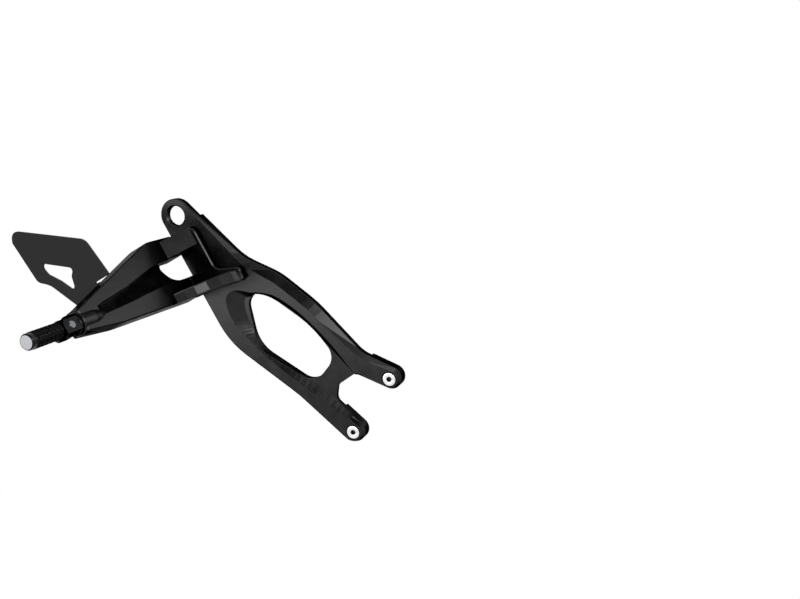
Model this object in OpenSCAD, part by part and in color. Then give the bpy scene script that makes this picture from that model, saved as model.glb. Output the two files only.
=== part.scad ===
// Motorcycle passenger foot peg: machined side plate, outrigger arm, heel guard and folding peg.
// X runs to the front of the bike, Y inward to its frame, Z up.
// The origin is on the axis of the upper frame screw, on the face that meets the frame.

/* [Side plate] */
// Thickness of the plate at its two fork ends
plate_t = 20; // [19:0.5:22]
// Relief of the back face between the fork ends and the eye
back_relief = 5; // [4:0.5:6]
// Thickness of the thin web around the window
web_t = 6; // [4:0.5:7]
// Drop of the wide bevel along the outer edge
bevel_drop = 7; // [5:0.5:8]
// Width of that bevel where it is widest
bevel_width = 10; // [8:0.5:11]
// Chamfer along the rear and lower edge
rear_chamfer = 2.5; // [1.5:0.25:3]
// Outside radius of the fork ends
boss_r = 13.5; // [13.5:0.25:14.5]
// Bore of the exhaust hanger eye
eye_bore = 24; // [22:0.5:26]
// Outside diameter of the exhaust hanger eye
eye_od = 42; // [41:0.5:43]
// Thickness of the exhaust hanger eye
eye_t = 9; // [8:0.5:10]
// Chamfer at both mouths of the eye
eye_chamfer = 1.6; // [0.8:0.1:2]

/* [Frame screws] */
// Lower frame screw: distance behind the upper one
screw_dx = 46.5; // [45.5:0.5:47.5]
// Lower frame screw: distance under the upper one
screw_dz = 72.2; // [71.2:0.5:73.2]
// Thread diameter of the frame screws
frame_screw_d = 8; // [6:1:8]
// Diameter of their flush heads
frame_head_d = 16; // [14:0.5:16.5]
// Height of their heads
frame_head_h = 5; // [4:0.5:6]
// Gap around their heads
head_gap = 1.3; // [0.8:0.1:1.4]
// Length of thread that stands out behind the plate
frame_reach = 16; // [10:1:25]
// Width across the flats of their hexagon sockets
frame_hex = 6; // [5:0.5:6]

/* [Arm] */
// Place of the peg's axis along X
arm_x = -265.9; // [-267:0.5:-265]
// Place of the peg's axis along Z
arm_z = 95.3; // [94.5:0.5:96.5]
// Slope of the arm, from level
arm_slope = 60; // [59:0.5:61]
// Distance from the frame to the tip of the arm
arm_reach = 232; // [228:1:240]
// Thickness of the arm
arm_t = 24; // [23:0.5:25]
// Diameter of the arm's round tip
tip_d = 28; // [26:0.5:30]
// Height of the foot that lies on the plate
foot_t = 8; // [8:0.5:10]
// Depth of the trough in the arm where it is deepest
trough_depth = 13; // [10:0.5:15]

/* [Arm screws] */
// Thread diameter of the screws that hold the arm to the plate
arm_screw_d = 6; // [5:1:6]
// Diameter of their heads
arm_head_d = 10; // [9:0.5:10.5]
// Height of their heads
arm_head_h = 6; // [5:0.5:6]
// Length of their thread in the arm
arm_grip = 7; // [6:0.25:7]

/* [Heel guard] */
// Sheet thickness of the guard
guard_t = 2.5; // [2:0.25:3]
// Distance from the frame to the guard's outer face
guard_reach = 152.5; // [150:0.5:155]
// Inside bend radius of the guard's fixing tab
guard_bend = 2; // [1.5:0.25:3]
// Thread diameter of the guard screws
guard_screw_d = 5; // [4:0.5:6]

/* [Folding joint] */
// Distance from the tip of the arm to the pivot
pivot_off = 14; // [14:0.5:16]
// Diameter of the pivot pin
pin_d = 7; // [6:0.5:7]
// Diameter of the pin's sunk head
pin_head_d = 9; // [8.5:0.25:9.5]
// Radius of the round side of the cheeks
cheek_r = 11; // [10.5:0.25:11.5]
// Width of the hinge block over its two cheeks
block_w = 21; // [20:0.5:22]
// Thickness of the peg's tongue
tongue_t = 9; // [8:0.5:9]
// Radius of the tongue's round end
tongue_r = 8; // [7.5:0.25:8]
// Thickness of the thrust washers beside the tongue
thrust_t = 0.8; // [0.6:0.1:1]
// Free play at the tongue and at the peg's shoulder
play = 0.2; // [0.15:0.05:0.3]
// Diameter of the detent ball
ball_d = 5; // [4:0.5:5]

/* [Peg] */
// Distance from the pivot to the end cap
peg_len = 50; // [44:1:60]
// Diameter over the ribs
peg_d = 18; // [17:0.25:18.5]
// Number of ribs
rib_n = 6; // [5:1:8]
// Depth of the grooves between the ribs
rib_depth = 1.5; // [1:0.1:2]
// Number of lengthwise notches
notch_n = 10; // [6:1:12]
// Thickness of the bright end cap
cap_t = 6; // [4:0.5:8]

/* [Hidden] */
$fn = 48;
over = 2;
fit = 0.02;
floor_t = back_relief + web_t;
pad_r = 36;
lower_screw = [-screw_dx, -screw_dz];
eye_pos = [-278.8, 180];
eye_relief_r = eye_od / 2 + 9;
half_n = arm_t / 2;
pivot_t = arm_reach + pivot_off;
block_flange_t = 4;
spigot_d = 12;
spigot_len = 18;
slot_w = tongue_t + 2 * thrust_t + 2 * play;
cheek_end = pivot_t + cheek_r;
root_t = cheek_end + play;
cap_seat = pivot_t + peg_len;
slot_floor_r = tongue_r + 0.6;
clip_t = 0.8;
cap_spigot_d = 8;
arm_screw_at = [[-44, 26], [-40, 42], [11, 28], [17, 62]];
arm_clamp = back_relief + arm_head_h;
guard_tab = [-38, -2];
guard_tab_end = guard_reach - 26;
guard_screw_at = [[-30, guard_reach - 15.5], [-9, guard_reach - 15.5]];
guard_washer_t = 1;
guard_grip = 8;

// Small helpers for flat outlines
function unit(v) = v / norm(v);
function turn(v) = [-v.y, v.x];
function flat(p) = [p.x, p.y];
function corner(p, r) = [p.x, p.y, r];
function heading(a) = [cos(a), sin(a)];
function lift(path, h) = [for (p = path) [p.x, p.y, h]];
function arc(centre, r, a0, a1, steps) =
    [for (i = [0 : steps]) centre + r * heading(a0 + (a1 - a0) * i / steps)];

// Points that round off the corner p between its neighbours
function corner_arc(before, p, after, r) =
    let (u = unit(before - p), v = unit(after - p), half = acos(max(-1, min(1, u * v))) / 2)
    r <= 0 ? [p] :
    let (
        centre = p + unit(u + v) * r / sin(half),
        start = p + u * r / tan(half) - centre,
        sweep = (180 - 2 * half) * (u.x * v.y - u.y * v.x > 0 ? -1 : 1),
        steps = max(2, ceil(abs(sweep) / 7))
    )
    [for (i = [0 : steps])
        let (a = sweep * i / steps)
        centre + [start.x * cos(a) - start.y * sin(a), start.x * sin(a) + start.y * cos(a)]];

// Closed outline and open line from corners of the form [x, y, radius]
function rounded(c) =
    let (n = len(c))
    [for (i = [0 : n - 1])
        each corner_arc(flat(c[(i + n - 1) % n]), flat(c[i]), flat(c[(i + 1) % n]), c[i].z)];
function rounded_line(c) =
    let (n = len(c))
    [for (i = [0 : n - 1])
        each i == 0 || i == n - 1 ? [flat(c[i])]
            : corner_arc(flat(c[i - 1]), flat(c[i]), flat(c[i + 1]), c[i].z)];

// Left-hand normal at a point of a path, and the path moved along its normals
function normal_at(path, i, closed) =
    let (
        n = len(path),
        before = closed ? path[(i + n - 1) % n] : path[max(0, i - 1)],
        after = closed ? path[(i + 1) % n] : path[min(n - 1, i + 1)]
    )
    turn(unit(after - before));
function shifted(path, d) = [for (i = [0 : len(path) - 1]) path[i] + d * normal_at(path, i, true)];

// Smooth curve through every point of a list
function smooth_at(a, b, c, d, u) =
    0.5 * (2 * b + (c - a) * u + (2 * a - 5 * b + 4 * c - d) * u * u + (3 * b - a - 3 * c + d) * u * u * u);
function smooth(c, steps) =
    let (n = len(c))
    [for (i = [0 : n - 2]) for (k = [0 : steps - 1])
        smooth_at(c[max(0, i - 1)], c[i], c[i + 1], c[min(n - 1, i + 2)], k / steps), c[n - 1]];

// Solid skin over a row of rings; each ring runs anticlockwise seen from the last one
module skin(rings) {
    m = len(rings[0]);
    k = len(rings);
    polyhedron(
        points = [for (r = rings) each r],
        faces = [
            [for (i = [0 : m - 1]) i],
            [for (i = [0 : m - 1]) k * m - 1 - i],
            for (j = [0 : k - 2]) for (i = [0 : m - 1]) each [
                [j * m + i, (j + 1) * m + (i + 1) % m, j * m + (i + 1) % m],
                [j * m + i, (j + 1) * m + i, (j + 1) * m + (i + 1) % m]
            ]
        ],
        convexity = 8
    );
}

// Flat part of a solid between two heights
module between(low, high) {
    intersection() {
        children();
        translate([-500, -500, low])
            cube([1000, 1000, high - low]);
    }
}
// Slab with a chamfer c at its upper rim, and at its lower rim too if both is true
module chamfered_slab(path, low, high, c, both) {
    between(low, high)
        skin([
            lift(both ? shifted(path, c + 1) : path, low - 1),
            if (both) lift(path, low + c),
            lift(path, high - c),
            lift(shifted(path, c + 1), high + 1)
        ]);
}

// Plate drawing: first axis to the front, second axis up, third axis outward from the frame
module on_frame() {
    rotate([90, 0, 0])
        children();
}
// Arm drawing: first axis down the slope, second axis square to it, third axis outward
module on_arm() {
    on_frame()
        translate([arm_x, arm_z, 0])
            rotate(-arm_slope)
                children();
}
function arm_offset(s, n) =
    [s * cos(arm_slope) + n * sin(arm_slope), n * cos(arm_slope) - s * sin(arm_slope)];
function arm_point(s, n) = [arm_x, arm_z] + arm_offset(s, n);
// Outline across the arm, drawn in its first and third axis
module across_arm(from_n, to_n) {
    translate([0, to_n, 0])
        rotate([90, 0, 0])
            linear_extrude(to_n - from_n)
                children();
}
// Round bar across the arm
module bar_across(s, t, r, from_n, to_n) {
    translate([s, to_n, t])
        rotate([90, 0, 0])
            cylinder(r = r, h = to_n - from_n);
}
// Outline along the slope of the arm, drawn in its second and third axis
module along_slope(from_s, to_s) {
    translate([from_s, 0, 0])
        rotate([90, 0, 90])
            linear_extrude(to_s - from_s)
                children();
}

// Front bevel along X on the upper edge, as a share of its widest place
function bevel_share(x) =
    lookup(x, [[-268, 0.1], [-244, 0.3], [-205, 0.35], [-168, 1], [-100, 1], [-62, 0.88], [-42, 0.55],
        [0, 0.32], [18, 0.3]]);

// Rim of the side plate, anticlockwise from the rear of the eye; each row is [x, y, bevel width, bevel drop]
upper_heading = -19;
lower_heading = -37.2;
eye_front_angle = 48;
eye_rear_angle = 209.7;
rear_corners = [[-212.4, 24.7, 105], [-118, -33.5, 180]];
slot_corners = [[-71.5, -35.5, 10], [-69.5, -17.5, 8], [-43, 2.5, 12]];
upper_corners = [[-37, 27.5, 40], [-96, 83.2, 150], [-144, 115.7, 90], [-192, 133, 80]];
function boss_end(centre, angle) = corner(centre + boss_r * heading(angle), 0);
function eye_point(angle) = corner(eye_pos + eye_od / 2 * heading(angle), 0);
function inner_points(line) = [for (i = [1 : len(line) - 2]) line[i]];
function upper_row(p) =
    let (w = max(1, bevel_width * bevel_share(p.x)))
    [p.x, p.y, w, bevel_drop * min(1, w / 3)];
boss_bevel = boss_r * 0.24;
plate_rim = concat(
    [for (p = inner_points(rounded_line([
        eye_point(eye_rear_angle), each rear_corners, boss_end(lower_screw, lower_heading - 90)
    ]))) [p.x, p.y, rear_chamfer, rear_chamfer]],
    [for (i = [0 : 18])
        let (p = lower_screw + boss_r * heading(lower_heading - 90 + i * 10), ramp = min(1, i / 5))
        [p.x, p.y, rear_chamfer + (boss_bevel - rear_chamfer) * ramp,
            rear_chamfer + (bevel_drop - rear_chamfer) * ramp]],
    [for (p = inner_points(rounded_line([
        boss_end(lower_screw, lower_heading + 90), each slot_corners, boss_end([0, 0], upper_heading - 90)
    ]))) [p.x, p.y, rear_chamfer, rear_chamfer]],
    [for (i = [0 : 18]) upper_row(boss_r * heading(upper_heading - 90 + i * 10))],
    [for (p = inner_points(rounded_line([
        boss_end([0, 0], upper_heading + 90), each upper_corners, eye_point(eye_front_angle)
    ]))) upper_row(p)],
    [for (p = arc(eye_pos, eye_od / 2, eye_front_angle, eye_rear_angle, 24)) [p.x, p.y, 1, 1]]
);
window_corners = [
    [-191, 90, 16], [-176, 23, 45], [-99, -18, 20], [-71.5, 17.5, 20], [-102.5, 53.5, 120], [-160.5, 88.5, 30]
];
// Pocket between the limbs: a point of its edge on the front face, then one of its floor
pocket_pairs = [
    [[-180, 91], [-180, 84]], [[-202, 92], [-190, 82]], [[-213, 82], [-192.5, 76]],
    [[-211, 66], [-190, 62]], [[-202, 49], [-184, 48]], [[-186, 33], [-173, 35]],
    [[-158, 10], [-149, 18]], [[-130, -9], [-122, -1]], [[-102, -27], [-96, -19]],
    [[-70, -47], [-64, -40]], [[-46, -57], [-43, -54]], [[-28, -50], [-30, -47]],
    [[-18, -26], [-20, -26]], [[-35, -6], [-38, -10]], [[-48, 7], [-51, 2]],
    [[-61, 22], [-66, 17]], [[-75, 37], [-81, 31]], [[-94, 55], [-99, 48]],
    [[-120, 75], [-124, 68]], [[-146, 89], [-149, 81]], [[-165, 92], [-167, 84]], [[-180, 91], [-180, 84]]
];
function pocket_ring(side) =
    let (curve = smooth([for (p = pocket_pairs) p[side]], 4))
    [for (i = [0 : len(curve) - 2]) curve[i]];

// Round hole with a chamfer at each mouth
module chamfered_bore(d, low, high, c) {
    translate([0, 0, low - 1])
        cylinder(d = d, h = high - low + 2);
    translate([0, 0, high - c])
        cylinder(d1 = d, d2 = d + 2 * c + 2, h = c + 1);
    translate([0, 0, low - 1])
        cylinder(d1 = d + 2 * c + 2, d2 = d, h = c + 1);
}
// Screw hole with a flat sunk seat for the head
module sunk_hole(shank_d, head_d, seat, head_to, shank_to) {
    translate([0, 0, min(seat, shank_to)])
        cylinder(d = shank_d + 2 * fit, h = abs(seat - shank_to));
    translate([0, 0, min(seat, head_to)])
        cylinder(d = head_d, h = abs(seat - head_to));
}
// Screw with a flat head, its shank from the seat to shank_to, with a thread undercut at groove_at
module flat_head_screw(shank_d, head_d, head_h, seat, shank_to, hex, hex_depth, groove_at) {
    length = abs(seat - shank_to);
    groove = abs(seat - groove_at);
    rim = head_h * 0.12;
    r = shank_d / 2;
    translate([0, 0, seat])
        mirror([0, 0, shank_to < seat ? 0 : 1])
            difference() {
                rotate_extrude()
                    polygon([
                        [0, -length], [r - 0.8, -length], [r, 0.8 - length], [r, -groove],
                        [r - 0.5, -groove], [r - 0.5, 1 - groove], [r, 1 - groove], [r, 0],
                        [head_d / 2, 0], [head_d / 2, head_h - rim], [head_d / 2 - rim, head_h], [0, head_h]
                    ]);
                translate([0, 0, head_h - hex_depth])
                    cylinder(d = hex / cos(30), h = hex_depth + 1, $fn = 6);
            }
}

module plate_blank() {
    difference() {
        between(0, plate_t)
            skin([
                lift(plate_rim, -1),
                [for (p = plate_rim) [p.x, p.y, plate_t - p[3]]],
                [for (i = [0 : len(plate_rim) - 1])
                    let (p = plate_rim[i], v = normal_at([for (q = plate_rim) flat(q)], i, true),
                        w = p[2] * (1 + 1 / p[3]))
                    [p.x + w * v.x, p.y + w * v.y, plate_t + 1]]
            ]);
        // Relief of the back, outside the thick pads at the two fork ends
        difference() {
            translate([-400, -200, -1])
                cube([500, 500, back_relief + 1]);
            translate([0, 0, -2])
                cylinder(r = pad_r, h = back_relief + 4);
            translate([lower_screw.x, lower_screw.y, -2])
                cylinder(r = pad_r - 4, h = back_relief + 4);
        }
    }
}

module side_plate() {
    color("#1d1e20")
        on_frame()
            difference() {
                plate_blank();
                translate([0, 0, -1])
                    linear_extrude(plate_t + 2)
                        polygon(rounded(window_corners));
                between(floor_t, plate_t + 3)
                    skin([
                        lift(shifted(pocket_ring(1), 1), floor_t - 1),
                        lift(pocket_ring(1), floor_t),
                        lift(pocket_ring(0), plate_t),
                        lift(shifted(pocket_ring(0), -2), plate_t + 4)
                    ]);
                // The eye is thinner than the limb that carries it
                translate([eye_pos.x, eye_pos.y, -1])
                    cylinder(r = eye_relief_r, h = plate_t - eye_t + 1, $fn = 96);
                translate([eye_pos.x, eye_pos.y, 0])
                    chamfered_bore(eye_bore, plate_t - eye_t, plate_t, eye_chamfer);
                for (p = [[0, 0], lower_screw])
                    translate([p.x, p.y, 0])
                        sunk_hole(frame_screw_d, frame_head_d + 2 * head_gap, plate_t - frame_head_h,
                            plate_t + 1, -1);
                for (p = arm_screw_at)
                    translate([arm_point(p.x, p.y).x, arm_point(p.x, p.y).y, 0])
                        sunk_hole(arm_screw_d, arm_head_d + 1, arm_clamp, -1, plate_t + 1);
            }
}

module frame_screws() {
    color("#d5d6d8")
        on_frame()
            for (p = [[0, 0], lower_screw])
                translate([p.x, p.y, 0])
                    flat_head_screw(frame_screw_d, frame_head_d, frame_head_h, plate_t - frame_head_h,
                        -frame_reach, frame_hex, 3.5, 0);
}

// Side view of the arm: first axis down the slope, second axis outward
tip_shoulder = arm_reach - 1.5;
arm_profile = rounded([
    [-62, plate_t + 1, 3], [20, plate_t + 1, 3], [17.3, 175, 120], [tip_d / 2 - 2, tip_shoulder, 2],
    [2 - tip_d / 2, tip_shoulder, 2], [-62, 74, 55]
]);
foot_outline = rounded([
    [-61, 2, 4], [20, 2, 4], [24, 40, 60], [31, 76, 6], [14, 82, 6], [2, 50, 10], [-56, 50, 7]
]);
foot_hollow = rounded([[-33, 14, 6], [1, 14, 6], [1, 44, 6], [-33, 44, 6]]);
arm_window = rounded([[-35, plate_t - 3, 1], [-6, plate_t - 3, 1], [-6, 56, 9], [-35, 56, 9]]);
// Trough on the arm: station outward, upper edge, lower edge, share of the full depth
trough_stations = [
    [38, -33, -8, 1], [55, -34, -6, 1], [85, -32, -5.5, 1], [115, -25.5, -3.5, 0.9], [144, -19, -1, 0.7],
    [172, -14.5, 0.5, 0.46], [192, -11.5, 1.8, 0.27], [202, -9, 2.3, 0.1]
];
function trough_ring(st) =
    let (depth = trough_depth * st[3], wide = st[2] - st[1])
    [
        [st[1], half_n + 1, st[0]],
        [st[1], half_n - 0.3, st[0]],
        for (i = [0 : 8])
            let (u = i / 8)
            [st[1] + 1.2 + (wide - 1.2) * u, half_n - depth * (1 - pow(u, 1.7)) - 0.01, st[0]],
        [st[2], half_n + 1, st[0]]
    ];
// Flare of the lower foot: station across, height outward, then its two sides
flare_stations = [
    [6, 86, 7.5, 19], [12, 74, 7.5, 19.5], [18, 61, 7.5, 20], [26, 50, 8, 21], [38, 40.5, 9, 22.5],
    [52, 33.5, 10.5, 25], [68, 29.2, 13, 28], [79, 27, 16, 29]
];
function flare_ring(st) =
    let (edge = 1.4, foot = plate_t + 1)
    [
        [st[2], st[0], foot], [st[2], st[0], st[1] - edge], [st[2] + edge, st[0], st[1]],
        [st[3] - edge, st[0], st[1]], [st[3], st[0], st[1] - edge], [st[3], st[0], foot]
    ];

module arm_blank() {
    // Flat body with chamfered edges
    rotate([90, 0, 0])
        skin([
            lift(shifted(arm_profile, 1.3), -half_n), lift(arm_profile, -half_n + 1.3),
            lift(arm_profile, half_n - 1.3), lift(shifted(arm_profile, 1.3), half_n)
        ]);
    // Foot that lies on the plate, with a chamfered rim
    chamfered_slab(foot_outline, plate_t, plate_t + foot_t, 1.5, false);
    // Upper haunch and lower flare between body and foot
    along_slope(-58, -36)
        polygon([[4, plate_t + 1], [47, plate_t + 1], [46, plate_t + foot_t - 1], [12, 48], [4, 58]]);
    skin([for (st = flare_stations) flare_ring(st)]);
    // Round tip on the axis of the peg
    rotate_extrude()
        polygon([
            [0, arm_reach - 42], [half_n - 0.5, arm_reach - 42], [tip_d / 2, arm_reach - 20],
            [tip_d / 2, arm_reach - 1], [tip_d / 2 - 1, arm_reach], [0, arm_reach]
        ]);
}

module peg_arm() {
    color("#202124")
        on_arm()
            difference() {
                arm_blank();
                skin([for (st = trough_stations) trough_ring(st)]);
                across_arm(-half_n - 1, half_n + 6)
                    polygon(arm_window);
                translate([0, 0, plate_t - 1])
                    linear_extrude(foot_t + 2)
                        polygon(foot_hollow);
                for (p = arm_screw_at)
                    translate([p.x, p.y, plate_t - 1])
                        cylinder(d = arm_screw_d, h = arm_grip + 1.4);
                for (p = guard_screw_at)
                    bar_across(p.x, p.y, guard_screw_d / 2, -half_n - 1, guard_grip - half_n + 0.4);
                translate([0, 0, arm_reach - spigot_len - 0.5])
                    cylinder(d = spigot_d, h = spigot_len + 1.5);
                bar_across(0, arm_reach - 9, 2.5, -tip_d / 2 - 1, -spigot_d / 2 + 1);
            }
}

module arm_screws() {
    color("#8d8f93")
        on_arm()
            for (p = arm_screw_at)
                translate([p.x, p.y, 0])
                    flat_head_screw(arm_screw_d, arm_head_d, arm_head_h, arm_clamp, plate_t + arm_grip, 5, 3, plate_t);
}

// Guard outline from the peg's axis: first axis to the front, second axis up
guard_n = -half_n - guard_t - guard_bend;
guard_edge = 1.6 - 62 + (guard_reach - 74) * 0.3;
guard_outline = rounded([
    [-60, -3, 4], corner(arm_offset(guard_tab[1], -34), 6), corner(arm_offset(guard_tab[1], guard_n), 0),
    corner(arm_offset(guard_edge - 3, guard_n), 1.5), corner(arm_offset(guard_edge - 3, 5.5), 2),
    [-44.6, 74.4, 14], [-144.5, 78.6, 9], [-144.5, 64.5, 5], [-113, 20.5, 10], [-96, 18.5, 25]
]);
guard_cutout = rounded([
    [-104, 43.2, 3], [-104, 37.5, 3], [-98, 31, 8], [-81, 24.5, 20], [-60.5, 13, 3.5], [-65.5, 31, 6], [-62.5, 40.8, 4]
]);
module heel_guard() {
    color("#17181a") {
        on_frame()
            translate([arm_x, arm_z, guard_reach - guard_t])
                linear_extrude(guard_t)
                    difference() {
                        polygon(guard_outline);
                        polygon(guard_cutout);
                    }
        on_arm()
            difference() {
                along_slope(guard_tab[0], guard_tab[1] - 1)
                    polygon(concat(
                        [[-half_n, guard_tab_end], [-half_n, guard_reach - guard_t - guard_bend]],
                        arc([guard_n, guard_reach - guard_t - guard_bend], guard_t + guard_bend, 8, 90, 10),
                        [[guard_n - 1, guard_reach], [guard_n - 1, guard_reach - guard_t]],
                        arc([guard_n, guard_reach - guard_t - guard_bend], guard_bend, 90, 0, 8),
                        [[-half_n - guard_t, guard_tab_end]]
                    ));
                for (p = guard_screw_at)
                    bar_across(p.x, p.y, guard_screw_d / 2 + fit, -half_n - guard_t - 1, 1 - half_n);
            }
    }
}

// Screw or washer drawn from the back face of the arm, its head outward
module at_guard_screws() {
    on_arm()
        for (p = guard_screw_at)
            translate([p.x, -half_n, p.y])
                rotate([90, 0, 0])
                    children();
}
module guard_screws() {
    color("#c4c6c9")
        at_guard_screws()
            flat_head_screw(guard_screw_d, guard_screw_d * 1.85, guard_screw_d * 0.55,
                guard_t + guard_washer_t, -guard_grip, 3, 1.6, 0);
}
module guard_washers() {
    color("#a9abae")
        at_guard_screws()
            translate([0, 0, guard_t])
                difference() {
                    cylinder(r = guard_screw_d, h = guard_washer_t);
                    translate([0, 0, -1])
                        cylinder(d = guard_screw_d + 0.3, h = guard_washer_t + 2);
                }
}

// Side view of the hinge block: round on the side the peg folds to, square stop on the other
block_base = arm_reach + block_flange_t;
block_profile = concat(
    [[-cheek_r, block_base - 1], [8.5, block_base - 1], [8.5, pivot_t - 5], [cheek_r, pivot_t],
        [cheek_r, cheek_end], [0, cheek_end]],
    arc([0, pivot_t], cheek_r, 97.5, 180, 11)
);
ball_seat = pivot_t - slot_floor_r;
module hinge_block() {
    half = block_w / 2;
    color("#131415")
        on_arm()
            difference() {
                union() {
                    translate([0, 0, arm_reach - spigot_len])
                        cylinder(d = spigot_d, h = spigot_len + 1);
                    translate([0, 0, arm_reach])
                        cylinder(r = 12, h = block_flange_t - 0.8);
                    translate([0, 0, block_base - 0.8])
                        cylinder(r1 = 12, r2 = 11.2, h = 0.8);
                    intersection() {
                        across_arm(-half, half)
                            polygon(block_profile);
                        translate([0, 0, arm_reach])
                            cylinder(r = 12.8, h = 2 * pivot_off + cheek_r, $fn = 72);
                    }
                }
                // Slot for the tongue, with a round floor about the pivot
                bar_across(0, pivot_t, slot_floor_r, -slot_w / 2, slot_w / 2);
                translate([-20, -slot_w / 2, pivot_t])
                    cube([40, slot_w, 20]);
                translate([-20, -slot_w / 2, pivot_t - slot_floor_r])
                    cube([20, slot_w, slot_floor_r + 1]);
                bar_across(0, pivot_t, pin_d / 2 + fit, -half - 1, half + 1);
                bar_across(0, pivot_t, pin_head_d / 2 + 0.1, half - 1.2, half + 1);
                translate([0, 0, ball_seat - 16])
                    cylinder(d = ball_d + 0.1, h = 20);
            }
}

module hinge_set_screw() {
    length = (tip_d - spigot_d) / 2 - 1;
    color("#55575b")
        on_arm()
            translate([0, -spigot_d / 2, arm_reach - 9])
                rotate([90, 0, 0])
                    difference() {
                        cylinder(d = 5, h = length);
                        translate([0, 0, length - 2.5])
                            cylinder(d = 2.5 / cos(30), h = 3, $fn = 6);
                    }
}

// Ball and spring sit in the hinge block and press on the round end of the tongue
ball_t = pivot_t - tongue_r - 0.3 - ball_d / 2;
module detent_ball() {
    color("#e2e3e5")
        on_arm()
            translate([0, 0, ball_t])
                rotate_extrude()
                    polygon([for (i = [0 : 18]) ball_d / 2 * heading(i * 10 - 90)]);
}
module detent_spring() {
    wire = 0.35;
    rings = 7;
    from_t = ball_seat - 16 + wire;
    to_t = ball_t - ball_d / 2 + 0.55 - wire;
    color("#b9bbbe")
        on_arm()
            union() {
                for (i = [0 : rings - 1])
                    translate([0, 0, from_t + (to_t - from_t) * i / (rings - 1)])
                        rotate_extrude($fn = 32)
                            translate([ball_d * 0.34, 0])
                                circle(r = wire, $fn = 12);
                for (a = [0, 180])
                    rotate(a)
                        translate([ball_d * 0.34, 0, from_t])
                            cylinder(r = wire * 0.8, h = to_t - from_t, $fn = 12);
            }
}

module thrust_washers() {
    color("#c9b27a")
        on_arm()
            for (side = [-1, 1])
                difference() {
                    bar_across(0, pivot_t, 7, side * slot_w / 2 - (side > 0 ? thrust_t : 0),
                        side * slot_w / 2 + (side > 0 ? 0 : thrust_t));
                    bar_across(0, pivot_t, pin_d / 2 + 0.1, -slot_w, slot_w);
                }
}

// Pin across the cheeks: sunk head at the front, groove for its circlip at the back
clip_at = -block_w / 2 - clip_t;
module pivot_pin() {
    half = block_w / 2;
    color("#9a9ca0")
        on_arm()
            translate([0, 0, pivot_t])
                rotate([-90, 0, 0])
                    rotate_extrude()
                        polygon([
                            [0, -half - 2.2], [pin_d / 2 - 0.6, -half - 2.2], [pin_d / 2, -half - 1.6],
                            [pin_d / 2, clip_at], [pin_d / 2 - 0.6, clip_at], [pin_d / 2 - 0.6, clip_at + clip_t],
                            [pin_d / 2, clip_at + clip_t], [pin_d / 2, half - 1.2], [pin_head_d / 2, half - 1.2],
                            [pin_head_d / 2, half - 0.4], [pin_head_d / 2 - 0.8, half + 0.4], [0, half + 0.4]
                        ]);
}
module pin_circlip() {
    color("#45474a")
        on_arm()
            translate([0, 0, pivot_t])
                rotate([-90, 0, 0])
                    translate([0, 0, clip_at])
                        difference() {
                            cylinder(d = pin_d + 3, h = clip_t);
                            translate([0, 0, -1])
                                cylinder(d = pin_d - 1.2, h = clip_t + 2);
                            translate([-1.6, -pin_d, -1])
                                cube([3.2, pin_d, clip_t + 2]);
                        }
}

// Outline of the ribbed grip, turned about the peg's axis
rib_pitch = (cap_seat - root_t - 3) / rib_n;
grip_profile = [
    [0, root_t], [peg_d / 2 - 0.8, root_t], [peg_d / 2, root_t + 0.8],
    for (i = [0 : rib_n - 1])
        let (t = root_t + 1.4 + i * rib_pitch)
        each [
            [peg_d / 2, t + rib_pitch * 0.5], [peg_d / 2 - rib_depth, t + rib_pitch * 0.62],
            [peg_d / 2 - rib_depth, t + rib_pitch * 0.82], [peg_d / 2, t + rib_pitch * 0.94]
        ],
    [peg_d / 2, cap_seat - 0.4], [peg_d / 2 - 0.4, cap_seat], [0, cap_seat]
];
module peg_body() {
    color("#18191b")
        on_arm()
            difference() {
                union() {
                    rotate_extrude($fn = 60)
                        polygon(grip_profile);
                    bar_across(0, pivot_t, tongue_r, -tongue_t / 2, tongue_t / 2);
                    translate([-tongue_r, -tongue_t / 2, pivot_t])
                        cube([2 * tongue_r, tongue_t, cheek_r + 1]);
                }
                bar_across(0, pivot_t, pin_d / 2 + 0.05, -tongue_t, tongue_t);
                for (a = [0, 90])
                    translate([-(tongue_r + 1.8) * sin(a), 0, pivot_t - (tongue_r + 1.8) * cos(a)])
                        sphere(d = ball_d, $fn = 32);
                for (i = [0 : notch_n - 1])
                    rotate(i * 360 / notch_n)
                        translate([peg_d / 2 + 0.4, 0, root_t + 1.4 + rib_pitch * 0.25])
                            cylinder(r = 1.3, h = cap_seat - root_t - 4, $fn = 16);
                translate([0, 0, cap_seat - 12.5])
                    cylinder(d = cap_spigot_d, h = 13);
            }
}
module peg_end_cap() {
    color("#dcdde0")
        on_arm()
            rotate_extrude($fn = 60)
                polygon([
                    [0, cap_seat - 12], [cap_spigot_d / 2 - 0.5, cap_seat - 12], [cap_spigot_d / 2, cap_seat - 11.5],
                    [cap_spigot_d / 2, cap_seat], [peg_d / 2 - 0.6, cap_seat], [peg_d / 2 - 0.4, cap_seat + 0.4],
                    [peg_d / 2 - 0.4, cap_seat + cap_t - 1.4], [peg_d / 2 - 1.4, cap_seat + cap_t],
                    [0, cap_seat + cap_t]
                ]);
}

side_plate();
frame_screws();
peg_arm();
arm_screws();
heel_guard();
guard_screws();
guard_washers();
hinge_block();
hinge_set_screw();
detent_ball();
detent_spring();
thrust_washers();
pivot_pin();
pin_circlip();
peg_body();
peg_end_cap();
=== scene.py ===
"""Motorcycle passenger foot peg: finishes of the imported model, turned pieces and studio.

The classes keep their sizes in millimetres, in the drawings of the part's source.
Blender's sizes are metres.
"""

import logging
import math
from dataclasses import dataclass, field, replace
from enum import Enum
from typing import Optional, Union

import bpy
from mathutils import Matrix, Vector


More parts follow.
